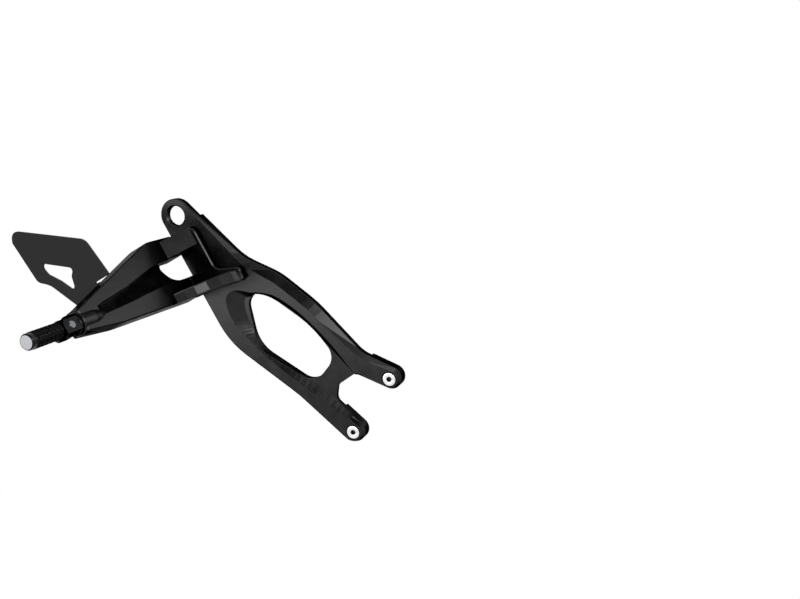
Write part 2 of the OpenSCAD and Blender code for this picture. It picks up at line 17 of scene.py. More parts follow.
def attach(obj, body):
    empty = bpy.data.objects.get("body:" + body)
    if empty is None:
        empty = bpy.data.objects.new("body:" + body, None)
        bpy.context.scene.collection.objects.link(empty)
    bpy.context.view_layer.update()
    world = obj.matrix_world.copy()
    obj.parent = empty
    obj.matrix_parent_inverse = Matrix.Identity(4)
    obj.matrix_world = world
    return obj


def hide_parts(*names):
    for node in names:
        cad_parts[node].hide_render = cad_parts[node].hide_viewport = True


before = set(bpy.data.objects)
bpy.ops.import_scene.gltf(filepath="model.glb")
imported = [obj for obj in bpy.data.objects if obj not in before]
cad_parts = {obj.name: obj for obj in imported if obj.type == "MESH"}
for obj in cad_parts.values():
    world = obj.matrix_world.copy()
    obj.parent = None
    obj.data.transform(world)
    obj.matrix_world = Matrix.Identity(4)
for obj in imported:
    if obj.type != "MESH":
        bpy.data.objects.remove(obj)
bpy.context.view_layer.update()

log = logging.getLogger("foot_peg")

MM = 0.001

Number = Union[int, float]
Value = Union[Number, tuple[float, ...]]
Link = tuple[bpy.types.Node, Union[str, int]]
Point = tuple[float, float, float]
Face = tuple[int, ...]


class Body(Enum):
    """The two rigid bodies of the part."""

    BRACKET = "bracket"
    PEG = "peg"


class Lie(Enum):
    """The way a cutter's lines run, as turns about the frame's axes in degrees."""

    ACROSS = (0, 18, 0)
    DOWN_SLOPE = (0, -30, 0)
    ROUND = (0, 0, 90)

    def turn(self) -> Point:
        """Gives the turns in radians."""
        return tuple(math.radians(angle) for angle in self.value)


# ---------------------------------------------------------------- places and drawings


@dataclass(frozen=True)
class Drawing:
    """A drawing's own axes and origin, in the shared frame, in millimetres."""

    origin: Point
    x_axis: Point
    y_axis: Point
    z_axis: Point

    def matrix(self) -> Matrix:
        """Gives the matrix from the drawing's millimetres to Blender's metres.

        Returns:
            The matrix.
        """
        axes = (Vector(self.x_axis), Vector(self.y_axis), Vector(self.z_axis))
        rows = [
            [axes[column][row] * MM for column in range(3)] + [self.origin[row] * MM]
            for row in range(3)
        ]
        return Matrix(rows + [[0, 0, 0, 1]])

    def shifted(self, x: float, y: float, z: float, flip: bool = False) -> "Drawing":
        """Gives the same axes at another place of the drawing.

        Args:
            x: Distance along the first axis.
            y: Distance along the second axis.
            z: Distance along the third axis.
            flip: Turns the drawing over, its third axis pointing back.

        Returns:
            The moved drawing.
        """
        place = (
            Vector(self.origin)
            + Vector(self.x_axis) * x
            + Vector(self.y_axis) * y
            + Vector(self.z_axis) * z
        )
        if not flip:
            return Drawing(tuple(place), self.x_axis, self.y_axis, self.z_axis)
        return Drawing(
            tuple(place),
            self.x_axis,
            tuple(-c for c in self.y_axis),
            tuple(-c for c in self.z_axis),
        )


ARM_SLOPE = math.radians(60)
ARM_ORIGIN = (-265.9, 0.0, 95.3)

# Plate drawing: to the front, up, outward from the motorcycle's frame
PLATE_DRAWING = Drawing((0, 0, 0), (1, 0, 0), (0, 0, 1), (0, -1, 0))
# Arm drawing: down the slope, square to it, outward along the peg's length
ARM_DRAWING = Drawing(
    ARM_ORIGIN,
    (math.cos(ARM_SLOPE), 0.0, -math.sin(ARM_SLOPE)),
    (math.sin(ARM_SLOPE), 0.0, math.cos(ARM_SLOPE)),
    (0, -1, 0),
)


# ---------------------------------------------------------------- materials


def linear(code: str) -> tuple[float, float, float, float]:
    """Turns an sRGB hex colour to linear light.

    Args:
        code: Six hex digits after a hash.

    Returns:
        Red, green, blue and an alpha of 1.
    """
    parts = [int(code[i : i + 2], 16) / 255 for i in (1, 3, 5)]
    light = [c / 12.92 if c <= 0.04045 else ((c + 0.055) / 1.055) ** 2.4 for c in parts]
    return (light[0], light[1], light[2], 1.0)


def add(
    tree: bpy.types.NodeTree,
    kind: str,
    values: Optional[dict[Union[str, int], Value]] = None,
    links: Optional[dict[Union[str, int], Link]] = None,
    **settings: Union[str, bool, Number],
) -> bpy.types.Node:
    """Adds one node with its settings, its socket values and its links.

    Args:
        tree: Node tree that gets the node.
        kind: Blender's name of the node's type.
        values: Socket name or number, and the value it gets.
        links: Socket name or number, and the node and output that feed it.
        **settings: The node's own settings.

    Returns:
        The new node.
    """
    node = tree.nodes.new(kind)
    for name, value in settings.items():
        setattr(node, name, value)
    for socket, value in (values or {}).items():
        node.inputs[socket].default_value = value
    for socket, (source, output) in (links or {}).items():
        tree.links.new(source.outputs[output], node.inputs[socket])
    return node


# Blender's wave texture runs through 20 radians in one unit of scaled length.
WAVE_RADIANS = 20.0
# Blender's noise lies mostly between these two values.
NOISE_SPAN = (0.3, 0.7)
# Cosine between a face and its rounded edge, where wear starts and where it is full.
WEAR_SPAN = (0.999, 0.86)
EDGE_SAMPLES = 4
LEAST_ROUGHNESS = 0.05


def per_metre(size_mm: float) -> float:
    """Gives the noise scale at which one cell is that many millimetres."""
    return 1.0 / (size_mm * MM)


def wave_scale(apart_mm: float) -> float:
    """Gives the wave scale at which the lines are that many millimetres apart."""
    return 2 * math.pi / WAVE_RADIANS * per_metre(apart_mm)


def shade(code: str, factor: float) -> str:
    """Makes an sRGB hex colour lighter or darker.

    Args:
        code: Six hex digits after a hash.
        factor: Above 1 for lighter, below 1 for darker.

    Returns:
        The new hex code.
    """
    parts = [min(255, round(int(code[i : i + 2], 16) * factor)) for i in (1, 3, 5)]
    return "#" + "".join(f"{part:02x}" for part in parts)


@dataclass(frozen=True)
class Finish:
    """A surface finish. Each kind makes one material, which its pieces share."""

    name: str
    hue: str
    roughness: float

    def metallic(self) -> float:
        """Gives the shader's metallic value, 1 for a bare or dyed metal."""
        return 1.0

    def material(self) -> bpy.types.Material:
        """Gives the finish's material, made when it is first asked for.

        Returns:
            The material, with its pattern drawn.
        """
        found = bpy.data.materials.get(self.name)
        if found is not None:
            return found
        made = bpy.data.materials.new(self.name)
        made.use_nodes = True
        tree = made.node_tree
        tree.nodes.clear()
        shader = add(
            tree,
            "ShaderNodeBsdfPrincipled",
            {
                "Base Color": linear(self.hue),
                "Metallic": self.metallic(),
                "Roughness": self.roughness,
            },
        )
        self.draw(tree, shader)
        add(tree, "ShaderNodeOutputMaterial", links={"Surface": (shader, "BSDF")})
        return made

    def draw(self, tree: bpy.types.NodeTree, shader: bpy.types.Node) -> None:
        """Draws the finish's own pattern into its shader.

        Args:
            tree: Node tree of the material.
            shader: The shader node that takes colour, roughness and relief.
        """
        raise NotImplementedError

    def vary_gloss(
        self,
        tree: bpy.types.NodeTree,
        shader: bpy.types.Node,
        pattern: Link,
        less: float,
        more: float,
    ) -> None:
        """Lets a pattern vary the finish's roughness.

        Args:
            tree: Node tree of the material.
            shader: The shader node.
            pattern: A noise.
            less: How far the roughness goes down.
            more: How far it goes up.
        """
        uneven = add(
            tree,
            "ShaderNodeMapRange",
            {
                "From Min": NOISE_SPAN[0],
                "From Max": NOISE_SPAN[1],
                "To Min": max(LEAST_ROUGHNESS, self.roughness - less),
                "To Max": self.roughness + more,
            },
            {"Value": pattern},
        )
        tree.links.new(uneven.outputs["Result"], shader.inputs["Roughness"])


@dataclass(frozen=True)
class Relief:
    """One layer of relief: its pattern, how strongly it shows and its height."""

    pattern: Link
    strength: float
    height_mm: float


def emboss(
    tree: bpy.types.NodeTree, shader: bpy.types.Node, edge_mm: float, layers: list[Relief]
) -> None:
    """Gives a surface broken edges and layers of relief, without changing the mesh.

    Args:
        tree: Node tree of the material.
        shader: The shader node.
        edge_mm: Radius of a broken edge.
        layers: Layers from the lowest to the highest.
    """
    top = add(tree, "ShaderNodeBevel", {"Radius": edge_mm * MM}, samples=EDGE_SAMPLES)
    for layer in layers:
        top = add(
            tree,
            "ShaderNodeBump",
            {"Strength": layer.strength, "Distance": layer.height_mm * MM},
            {"Height": layer.pattern, "Normal": (top, "Normal")},
        )
    tree.links.new(top.outputs["Normal"], shader.inputs["Normal"])


def noise(
    tree: bpy.types.NodeTree,
    size_mm: float,
    detail: float,
    stretch: Point = (1.0, 1.0, 1.0),
) -> Link:
    """Adds a noise whose blots have a real size.

    Args:
        tree: Node tree of the material.
        size_mm: Size of one blot.
        detail: Finer noise on top of it.
        stretch: Scale of the noise along each axis of the frame.

    Returns:
        The noise and its output.
    """
    spread = add(
        tree,
        "ShaderNodeMapping",
        {"Scale": stretch},
        {"Vector": (add(tree, "ShaderNodeTexCoord"), "Object")},
    )
    spots = add(
        tree,
        "ShaderNodeTexNoise",
        {"Scale": per_metre(size_mm), "Detail": detail, "Roughness": 0.55},
        {"Vector": (spread, "Vector")},
    )
    return (spots, "Fac")


def two_tone(
    tree: bpy.types.NodeTree, pattern: Link, low: tuple[float, str], high: tuple[float, str]
) -> Link:
    """Paints a pattern in two colours that run into each other.

    Args:
        tree: Node tree of the material.
        pattern: A noise.
        low: The pattern's value up to which the first sRGB hex colour is plain.
        high: The value from which the second one is plain.

    Returns:
        The paint and its output.
    """
    share = add(
        tree,
        "ShaderNodeMapRange",
        {"From Min": low[0], "From Max": high[0]},
        {"Value": pattern},
        clamp=True,
    )
    paint = add(
        tree,
        "ShaderNodeMix",
        {6: linear(low[1]), 7: linear(high[1])},
        {0: (share, "Result")},
        data_type="RGBA",
    )
    return (paint, 2)


def edge_mask(tree: bpy.types.NodeTree, radius_mm: float) -> Link:
    """Adds a mask that is 1 on a sharp edge and 0 on the faces beside it.

    Args:
        tree: Node tree of the material.
        radius_mm: Width of the band along an edge.

    Returns:
        The mask and its output.
    """
    worn = add(tree, "ShaderNodeBevel", {"Radius": radius_mm * MM}, samples=EDGE_SAMPLES)
    flat = add(tree, "ShaderNodeNewGeometry")
    same = add(
        tree,
        "ShaderNodeVectorMath",
        links={0: (worn, "Normal"), 1: (flat, "Normal")},
        operation="DOT_PRODUCT",
    )
    mask = add(
        tree,
        "ShaderNodeMapRange",
        {"From Min": WEAR_SPAN[0], "From Max": WEAR_SPAN[1]},
        {"Value": (same, "Value")},
        clamp=True,
    )
    return (mask, "Result")


@dataclass(frozen=True)
class BlastedAnodising(Finish):
    """Black anodised aluminium, machined and then blasted with glass beads."""

    # What the eye gets: a satin black with a fine even sparkle, cutter lines just
    # visible under it, and edges that are broken and a little lighter where hands
    # and boots rub them.
    lie: Lie = Lie.ACROSS
    # Beads leave dimples of about 0.1 mm. They are drawn at 0.7 mm to show.
    grain_mm: float = 0.7
    grain_strength: float = 0.16
    grain_height_mm: float = 0.08
    # Cutter lines of 0.3 mm are drawn about 6 mm apart to show.
    line_mm: float = 5.92
    line_strength: float = 0.10
    line_height_mm: float = 0.05
    # The dye takes a little unevenly, in clouds of two centimetres.
    cloud_mm: float = 22.0
    cloud_lift: float = 1.16
    # Broken edges are rubbed lighter in patches of half a centimetre.
    worn_hue: str = "#4a4b4e"
    rub_mm: float = 5.0
    edge_mm: float = 0.6
    # Dyed oxide swallows light at a grazing look too, so its rim isn't white.
    rim_hue: str = "#5c5c5c"

    def draw(self, tree: bpy.types.NodeTree, shader: bpy.types.Node) -> None:
        """Draws grain, cutter lines, cloudy dye and worn edges.

        Args:
            tree: Node tree of the material.
            shader: The shader node.
        """
        shader.inputs["Specular Tint"].default_value = linear(self.rim_hue)
        cloud = noise(tree, self.cloud_mm, detail=3.0)
        dyed = two_tone(
            tree, cloud, (0.30, self.hue), (0.72, shade(self.hue, self.cloud_lift))
        )
        rub = noise(tree, self.rub_mm, detail=4.0)
        worn = add(
            tree,
            "ShaderNodeMath",
            links={0: edge_mask(tree, self.edge_mm), 1: rub},
            operation="MULTIPLY",
        )
        colour = add(
            tree,
            "ShaderNodeMix",
            {7: linear(self.worn_hue)},
            {0: (worn, "Value"), 6: dyed},
            data_type="RGBA",
        )
        tree.links.new(colour.outputs[2], shader.inputs["Base Color"])
        self.vary_gloss(tree, shader, cloud, less=0.04, more=0.05)
        laid = add(
            tree,
            "ShaderNodeMapping",
            {"Rotation": self.lie.turn()},
            {"Vector": (add(tree, "ShaderNodeTexCoord"), "Object")},
        )
        lines = add(
            tree,
            "ShaderNodeTexWave",
            {"Scale": wave_scale(self.line_mm), "Distortion": 0.4, "Detail": 1.0},
            {"Vector": (laid, "Vector")},
            wave_type="BANDS",
            bands_direction="X",
        )
        grain = noise(tree, self.grain_mm, detail=1.0)
        layers = [
            Relief((lines, "Fac"), self.line_strength, self.line_height_mm),
            Relief(grain, self.grain_strength, self.grain_height_mm),
        ]
        emboss(tree, shader, self.edge_mm, layers)


@dataclass(frozen=True)
class PowderCoat(Finish):
    """Matt black powder coat baked on laser-cut sheet."""

    # What the eye gets: an even soft black without a mirror image, with a shallow
    # orange-peel ripple that only shows where the light grazes it.
    # The ripples of the molten powder are about 1.8 mm apart.
    peel_mm: float = 1.8
    peel_strength: float = 0.22
    peel_height_mm: float = 0.12
    # Powder grains of 0.05 mm are drawn at 0.5 mm to show.
    grit_mm: float = 0.5
    grit_strength: float = 0.12
    grit_height_mm: float = 0.06
    cloud_mm: float = 30.0
    cloud_lift: float = 1.2
    edge_mm: float = 0.5
    ior: float = 1.5
    # A matting agent in the powder takes most of its mirror image away.
    mirror_level: float = 0.14

    def metallic(self) -> float:
        """Gives 0, for a coat of polymer."""
        return 0.0

    def draw(self, tree: bpy.types.NodeTree, shader: bpy.types.Node) -> None:
        """Draws the orange peel, the grit and the faint unevenness of the black.

        Args:
            tree: Node tree of the material.
            shader: The shader node.
        """
        shader.inputs["IOR"].default_value = self.ior
        shader.inputs["Specular IOR Level"].default_value = self.mirror_level
        cloud = noise(tree, self.cloud_mm, detail=3.0)
        coat, output = two_tone(
            tree, cloud, (0.3, self.hue), (0.75, shade(self.hue, self.cloud_lift))
        )
        tree.links.new(coat.outputs[output], shader.inputs["Base Color"])
        peel = noise(tree, self.peel_mm, detail=1.0)
        grit = noise(tree, self.grit_mm, detail=1.0)
        layers = [
            Relief(peel, self.peel_strength, self.peel_height_mm),
            Relief(grit, self.grit_strength, self.grit_height_mm),
        ]
        emboss(tree, shader, self.edge_mm, layers)


@dataclass(frozen=True)
class DarkPart:
    """The dark part of a turned piece: a socket painted dark as the painted shade of its
    recess, or all but a bright end face.

    A socket is what lies within the radius and below the height. Round a bright face, what
    lies outside the radius or below the height is dark: the dyed rim of a cap whose face is
    cut after dyeing.
    """

    radius: float
    height: float
    is_socket: bool
    hue: str

    def mask(self, tree: bpy.types.NodeTree, centred: bpy.types.Node) -> Link:
        """Adds a mask that is 1 in the dark part.

        Args:
            tree: Node tree of the material.
            centred: The node that gives a place from the turning axis.

        Returns:
            The mask and its output.
        """
        apart = add(tree, "ShaderNodeSeparateXYZ", links={"Vector": (centred, "Vector")})
        flat = add(
            tree, "ShaderNodeCombineXYZ", links={"X": (apart, "X"), "Y": (apart, "Y")}
        )
        radius = add(
            tree, "ShaderNodeVectorMath", links={0: (flat, "Vector")}, operation="LENGTH"
        )
        beside = add(
            tree,
            "ShaderNodeMath",
            {1: self.radius * MM},
            {0: (radius, "Value")},
            operation="LESS_THAN" if self.is_socket else "GREATER_THAN",
        )
        below = add(
            tree,
            "ShaderNodeMath",
            {1: self.height * MM},
            {0: (apart, "Z")},
            operation="LESS_THAN",
        )
        both = add(
            tree,
            "ShaderNodeMath",
            links={0: (beside, "Value"), 1: (below, "Value")},
            operation="MULTIPLY" if self.is_socket else "MAXIMUM",
        )
        return (both, "Value")


@dataclass(frozen=True)
class TurnedMetal(Finish):
    """Bare bright metal, turned on a lathe about an axis of the frame."""

    # What the eye gets: a bright clean metal with hair-fine rings round its axis,
    # which draw the highlight out into a fan, and a few handling marks.
    axis: Drawing = PLATE_DRAWING
    # Turning marks of 0.1 mm are drawn 1.8 mm apart to show.
    ring_mm: float = 1.777
    ring_strength: float = 0.10
    ring_height_mm: float = 0.03
    # Handling marks are a millimetre or two long.
    mark_mm: float = 1.6
    mark_dim: float = 0.93
    edge_mm: float = 0.25
    dark: Optional[DarkPart] = None

    def draw(self, tree: bpy.types.NodeTree, shader: bpy.types.Node) -> None:
        """Draws the turning rings about the axis, the handling marks and the dark part.

        Args:
            tree: Node tree of the material.
            shader: The shader node.
        """
        turn = self.axis.matrix().to_3x3().normalized().to_euler()
        centred = add(
            tree,
            "ShaderNodeMapping",
            {"Location": tuple(c * MM for c in self.axis.origin), "Rotation": tuple(turn)},
            {"Vector": (add(tree, "ShaderNodeTexCoord"), "Object")},
            vector_type="TEXTURE",
        )
        rings = add(
            tree,
            "ShaderNodeTexWave",
            {"Scale": wave_scale(self.ring_mm), "Distortion": 0.3, "Detail": 1.0},
            {"Vector": (centred, "Vector")},
            wave_type="RINGS",
            rings_direction="Z",
        )
        marks = noise(tree, self.mark_mm, detail=4.0)
        colour, output = two_tone(
            tree, marks, (0.25, shade(self.hue, self.mark_dim)), (0.7, self.hue)
        )
        if self.dark:
            bright = (colour, output)
            colour = add(
                tree,
                "ShaderNodeMix",
                {7: linear(self.dark.hue)},
                {0: self.dark.mask(tree, centred), 6: bright},
                data_type="RGBA",
            )
        tree.links.new(colour.outputs[output], shader.inputs["Base Color"])
        self.vary_gloss(tree, shader, marks, less=0.04, more=0.06)
        layers = [Relief((rings, "Fac"), self.ring_strength, self.ring_height_mm)]
        emboss(tree, shader, self.edge_mm, layers)


@dataclass(frozen=True)
class FormedMetal(Finish):
    """Bare metal that was rolled, drawn, stamped or coiled and left as it came."""

    # What the eye gets: a mid-grey or yellow metal with long faint drawing streaks
    # and a soft, slightly blotchy gloss.
    # Drawing streaks of 0.05 mm are drawn 0.6 mm wide and 5 mm long to show.
    streak_mm: float = 0.6
    streak_stretch: Point = (1.0, 0.12, 1.0)
    streak_strength: float = 0.10
    streak_height_mm: float = 0.03
    # Oil dries on the mill finish in blots of a few millimetres.
    blot_mm: float = 3.0
    blot_dim: float = 0.88
    edge_mm: float = 0.15

    def draw(self, tree: bpy.types.NodeTree, shader: bpy.types.Node) -> None:
        """Draws the streaks and the blotches of the mill finish.

        Args:
            tree: Node tree of the material.
            shader: The shader node.
        """
        streaks = noise(tree, self.streak_mm, detail=2.0, stretch=self.streak_stretch)
        blots = noise(tree, self.blot_mm, detail=3.0)
        colour, output = two_tone(
            tree, blots, (0.3, shade(self.hue, self.blot_dim)), (0.7, self.hue)
        )
        tree.links.new(colour.outputs[output], shader.inputs["Base Color"])
        self.vary_gloss(tree, shader, streaks, less=0.05, more=0.08)
        layers = [Relief(streaks, self.streak_strength, self.streak_height_mm)]
        emboss(tree, shader, self.edge_mm, layers)


def dress(piece: bpy.types.Object, finish: Finish) -> None:
    """Puts a finish on every face of a piece.

    Args:
        piece: A CAD node or a piece made here.
        finish: The finish it gets.
    """
    made = finish.material()
    if not piece.material_slots:
        piece.data.materials.append(made)
    for place in piece.material_slots:
        place.material = made
    log.info("%s dressed as %s", piece.name, finish.name)


# ---------------------------------------------------------------- turned pieces


TURNED_SIDES = 48
# Angles in degrees between faces from which an edge stays sharp
SMOOTH_TURNED = 32
SMOOTH_COILED = 50


def new_piece(name: str, points: list[Point], faces: list[Face]) -> bpy.types.Object:
    """Makes an object from points and faces and puts it in the scene.

    Args:
        name: Name of the piece and of its mesh.
        points: Places of its corners.
        faces: Corner numbers of each face, anticlockwise from outside.

    Returns:
        The new object.
    """
    mesh = bpy.data.meshes.new(name)
    mesh.from_pydata(points, [], faces)
    piece = bpy.data.objects.new(name, mesh)
    bpy.context.scene.collection.objects.link(piece)
    return piece


def set_down(piece: bpy.types.Object, place: Drawing, degrees: float) -> bpy.types.Object:
    """Moves a mesh from its own drawing to the shared frame and shades it.

    Args:
        piece: A piece whose mesh is in a drawing's millimetres.
        place: That drawing.
        degrees: Angle between faces from which an edge stays sharp.

    Returns:
        The same piece.
    """
    mesh = piece.data
    mesh.transform(place.matrix())
    mesh.update()
    mesh.shade_smooth()
    mesh.set_sharp_from_angle(angle=math.radians(degrees))
    return piece


@dataclass(frozen=True)
class Ring:
    """One ring of a turned piece, round or with the flats of a hexagon."""

    height: float
    radius: float
    flats: float = 0.0

    def reach(self, angle: float) -> float:
        """Gives the distance from the axis to the ring.

        Args:
            angle: Angle round the axis, in degrees.

        Returns:
            The distance.
        """
        if self.flats:
            return self.flats / 2 / math.cos(math.radians(angle % 60 - 30))
        return self.radius


@dataclass(frozen=True)
class Thread:
    """A thread cut into a shank between two heights."""

    pitch: float
    low: float
    high: float
    root: float
    # Steepness of its flanks and width of its crest, as shares of the pitch
    flank_slope: float = 3.2
    crest_share: float = 0.3

    def depth(self, height: float, share: float) -> float:
        """Gives how deep the thread cuts at a place.

        Args:
            height: Height of the place.
            share: Share of the way round the axis.

        Returns:
            The depth, 0 outside the thread.
        """
        if not self.low <= height <= self.high:
            return 0.0
        wave = (height / self.pitch - share) % 1.0
        cut = abs(wave - 0.5) * self.flank_slope - self.crest_share
        return self.root * max(0.0, min(1.0, cut))


def turned(
    name: str, rings: list[Ring], place: Drawing, thread: Optional[Thread] = None
) -> bpy.types.Object:
    """Makes a turned piece from its rings, closed at both ends.

    Args:
        name: Name of the piece.
        rings: Rings from one end to the other, the first and last with a radius of 0.
        place: Where the piece's axis and foot are.
        thread: The thread on it, if it has one.

    Returns:
        The new object.
    """
    sides = TURNED_SIDES
    points: list[Point] = []
    faces: list[Face] = []
    starts: list[tuple[int, bool]] = []
    for ring in rings:
        is_tip = ring.radius == 0 and not ring.flats
        starts.append((len(points), is_tip))
        if is_tip:
            points.append((0.0, 0.0, ring.height))
            continue
        for k in range(sides):
            angle = 360.0 * k / sides
            reach = ring.reach(angle)
            if thread:
                reach -= thread.depth(ring.height, k / sides)
            turn = math.radians(angle)
            points.append((reach * math.cos(turn), reach * math.sin(turn), ring.height))
    for (low, low_tip), (high, high_tip) in zip(starts, starts[1:]):
        for k in range(sides):
            n = (k + 1) % sides
            if low_tip:
                faces.append((high + n, high + k, low))
            elif high_tip:
                faces.append((low + k, low + n, high))
            else:
                faces.append((low + k, low + n, high + n, high + k))
    return set_down(new_piece(name, points, faces), place, SMOOTH_TURNED)


@dataclass(frozen=True)
class SocketScrew:
    """A screw with a cylindrical head and a hexagon socket, its seat at height 0."""

    shank_d: float
    head_d: float
    head_h: float
    length: float
    pitch: float
    socket: float
    socket_depth: float
    thread_length: float

    # Point: how far it goes in, how high it is, and how far its shoulder stays inside
    point_in: float = 1.0
    point_high: float = 0.8
    point_gap: float = 0.05
    # Thread: its lead-in, its run-out, and how deep it cuts as a share of the pitch
    thread_in: float = 0.1
    thread_out: float = 0.3
    thread_gap: float = 0.01
    root_share: float = 0.55
    rings_per_pitch: int = 8
    # Plain shank: the shortest one that is drawn, and where it ends below the seat
    shortest_neck: float = 1.0
    neck_end: float = 0.35
    # Head: its chamfers under it and round its face, and the sunk mouth of its socket
    head_gap: float = 0.02
    chamfer_in: float = 0.25
    chamfer_high: float = 0.2
    rim_share: float = 0.12
    rim_mid_in: float = 0.32
    rim_mid_down: float = 0.35
    sink: float = 0.25
    sink_high: float = 0.3
    sink_play: float = 0.02
    # The socket is painted dark as far out as its corners, as painted shade in its recess
    socket_shade_share: float = 0.62
    socket_shade_hue: str = "#242527"

    def make(self, name: str, place: Drawing, metal: TurnedMetal) -> bpy.types.Object:
        """Makes the screw and dresses it.

        Args:
            name: Name of the piece.
            place: Drawing whose origin is the middle of the seat and whose third axis
                points out of the head.
            metal: What the screw is made of. Its axis and the painted shade of its socket are
                set here.

        Returns:
            The new object.
        """
        first = -self.length + self.point_high + self.thread_in
        top = first + self.thread_length
        thread = Thread(
            pitch=self.pitch,
            low=first + self.thread_in,
            high=top - self.thread_in,
            root=self.root_share * self.pitch,
        )
        rings = self.shank(first, top) + self.head()
        piece = turned(name, rings, place, thread)
        # Painted shade: the socket's recess is painted dark
        socket = DarkPart(
            self.socket * self.socket_shade_share, self.head_h - self.sink, True, self.socket_shade_hue
        )
        dress(piece, replace(metal, axis=place, dark=socket))
        return piece

    def shank(self, first: float, top: float) -> list[Ring]:
        """Gives the rings of the point, the thread and the plain shank.

        Args:
            first: Height of the lowest thread.
            top: Height of the highest thread.

        Returns:
            Rings from the point to the seat.
        """
        low, r = -self.length, self.shank_d / 2
        crest = r - self.thread_gap
        rings = [
            Ring(low, 0),
            Ring(low, r - self.point_in),
            Ring(low + self.point_high, r - self.point_gap),
        ]
        steps = round(self.thread_length / self.pitch * self.rings_per_pitch)
        rings += [
            Ring(first + self.thread_length * i / steps, crest) for i in range(steps + 1)
        ]
        if top < -self.shortest_neck:
            rings += [Ring(top + self.thread_out, crest), Ring(-self.neck_end, crest)]
        return rings + [Ring(0.0, crest)]

    def head(self) -> list[Ring]:
        """Gives the rings of the head and of its socket.

        Returns:
            Rings from the seat to the socket's floor.
        """
        head, high, rim = self.head_d / 2, self.head_h, self.head_h * self.rim_share
        side, face = head - self.head_gap, high - self.head_gap
        corner = self.socket / 2 / math.cos(math.radians(30))
        floor = high - self.socket_depth
        return [
            Ring(0.0, head - self.chamfer_in),
            Ring(self.chamfer_high, side),
            Ring(high - rim, side),
            Ring(high - rim * self.rim_mid_down, head - rim * self.rim_mid_in),
            Ring(face, head - rim),
            Ring(face, corner + self.sink),
            Ring(high - self.sink_high, corner, self.socket + self.sink_play),
            Ring(floor, corner, self.socket),
            Ring(floor - self.sink, 0),
        ]


@dataclass(frozen=True)
class CoilSpring:
    """A compression spring with closed ends."""

    coil_d: float
    wire_d: float
    length: float
    turns: float
    # Share of the wire that lies closed at each end
    closed: float = 0.12
    steps_per_turn: int = 24
    wire_sides: int = 10

    def make(self, name: str, place: Drawing) -> bpy.types.Object:
        """Makes the spring as one swept wire.

        Args:
            name: Name of the piece.
            place: Drawing whose origin is the middle of its foot.

        Returns:
            The new object.
        """
        steps = round(self.turns * self.steps_per_turn)
        sides, r = self.wire_sides, self.wire_d / 2
        points: list[Point] = []
        faces: list[Face] = []
        for i in range(steps + 1):
            share = i / steps
            lead = min(max((share - self.closed) / (1 - 2 * self.closed), 0.0), 1.0)
            height = r + (self.length - 2 * r) * lead
            turn = share * self.turns * 2 * math.pi
            for k in range(sides):
                a = 2 * math.pi * k / sides
                out = self.coil_d / 2 + r * math.cos(a)
                points.append(
                    (out * math.cos(turn), out * math.sin(turn), height + r * math.sin(a))
                )
        for i in range(steps):
            for k in range(sides):
                n = (k + 1) % sides
                a, b = i * sides, (i + 1) * sides
                faces.append((a + k, a + n, b + n, b + k))
        faces.append(tuple(range(sides))[::-1])
        faces.append(tuple(steps * sides + k for k in range(sides)))
        return set_down(new_piece(name, points, faces), place, SMOOTH_COILED)


# ---------------------------------------------------------------- sub-assemblies


@dataclass
class SidePlate:
    """The machined side plate and the two screws that hold it to the motorcycle's frame."""

    plate_t: float = 20.0
    lower_screw: tuple[float, float] = (-46.5, -72.2)
    screw: SocketScrew = SocketScrew(
        shank_d=8.0,
        head_d=16.0,
        head_h=5.0,
        length=31.0,
        pitch=1.25,
        socket=6.0,
        socket_depth=3.5,
        thread_length=15.0,
    )
    plate_finish: Finish = BlastedAnodising(
        "black_anodised_aluminium_blasted", "#272727", 0.26, Lie.ACROSS
    )

    def build(self) -> None:
        """Dresses the plate and makes its frame screws."""
        dress(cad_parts["side_plate"], self.plate_finish)
        for name, (x, z) in (("upper", (0.0, 0.0)), ("lower", self.lower_screw)):
            place = PLATE_DRAWING.shifted(x, z, self.plate_t - self.screw.head_h)
            steel = TurnedMetal(
                f"stainless_steel_turned_{name}_frame_screw", "#e6e6e6", 0.20
            )
            piece = self.screw.make(f"frame_screw_{name}", place, steel)
            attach(piece, Body.BRACKET.value)
            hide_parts("frame_screws")


@dataclass
class PegArm:
    """The machined arm and the four screws that hold it to the plate from behind."""

    screw_at: tuple[tuple[float, float], ...] = ((-44, 26), (-40, 42), (11, 28), (17, 62))
    seat: float = 11.0
    screw: SocketScrew = SocketScrew(
        shank_d=6.0,
        head_d=10.0,
        head_h=6.0,
        length=16.0,
        pitch=1.0,
        socket=5.0,
        socket_depth=3.0,
        thread_length=9.0,
    )
    arm_finish: Finish = BlastedAnodising(
        "black_anodised_aluminium_milled_arm",
        "#262626",
        0.24,
        Lie.DOWN_SLOPE,
        line_mm=7.5,
        line_strength=0.16,
        rim_hue="#363636",
    )

    def build(self) -> None:
        """Dresses the arm and makes its screws."""
        dress(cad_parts["peg_arm"], self.arm_finish)
        for number, (s, n) in enumerate(self.screw_at, 1):
            place = ARM_DRAWING.shifted(s, n, self.seat, flip=True)
            steel = TurnedMetal(
                f"zinc_plated_steel_turned_arm_screw_{number}", "#8f9194", 0.30
            )
            piece = self.screw.make(f"arm_screw_{number}", place, steel)
            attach(piece, Body.BRACKET.value)
            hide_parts("arm_screws")


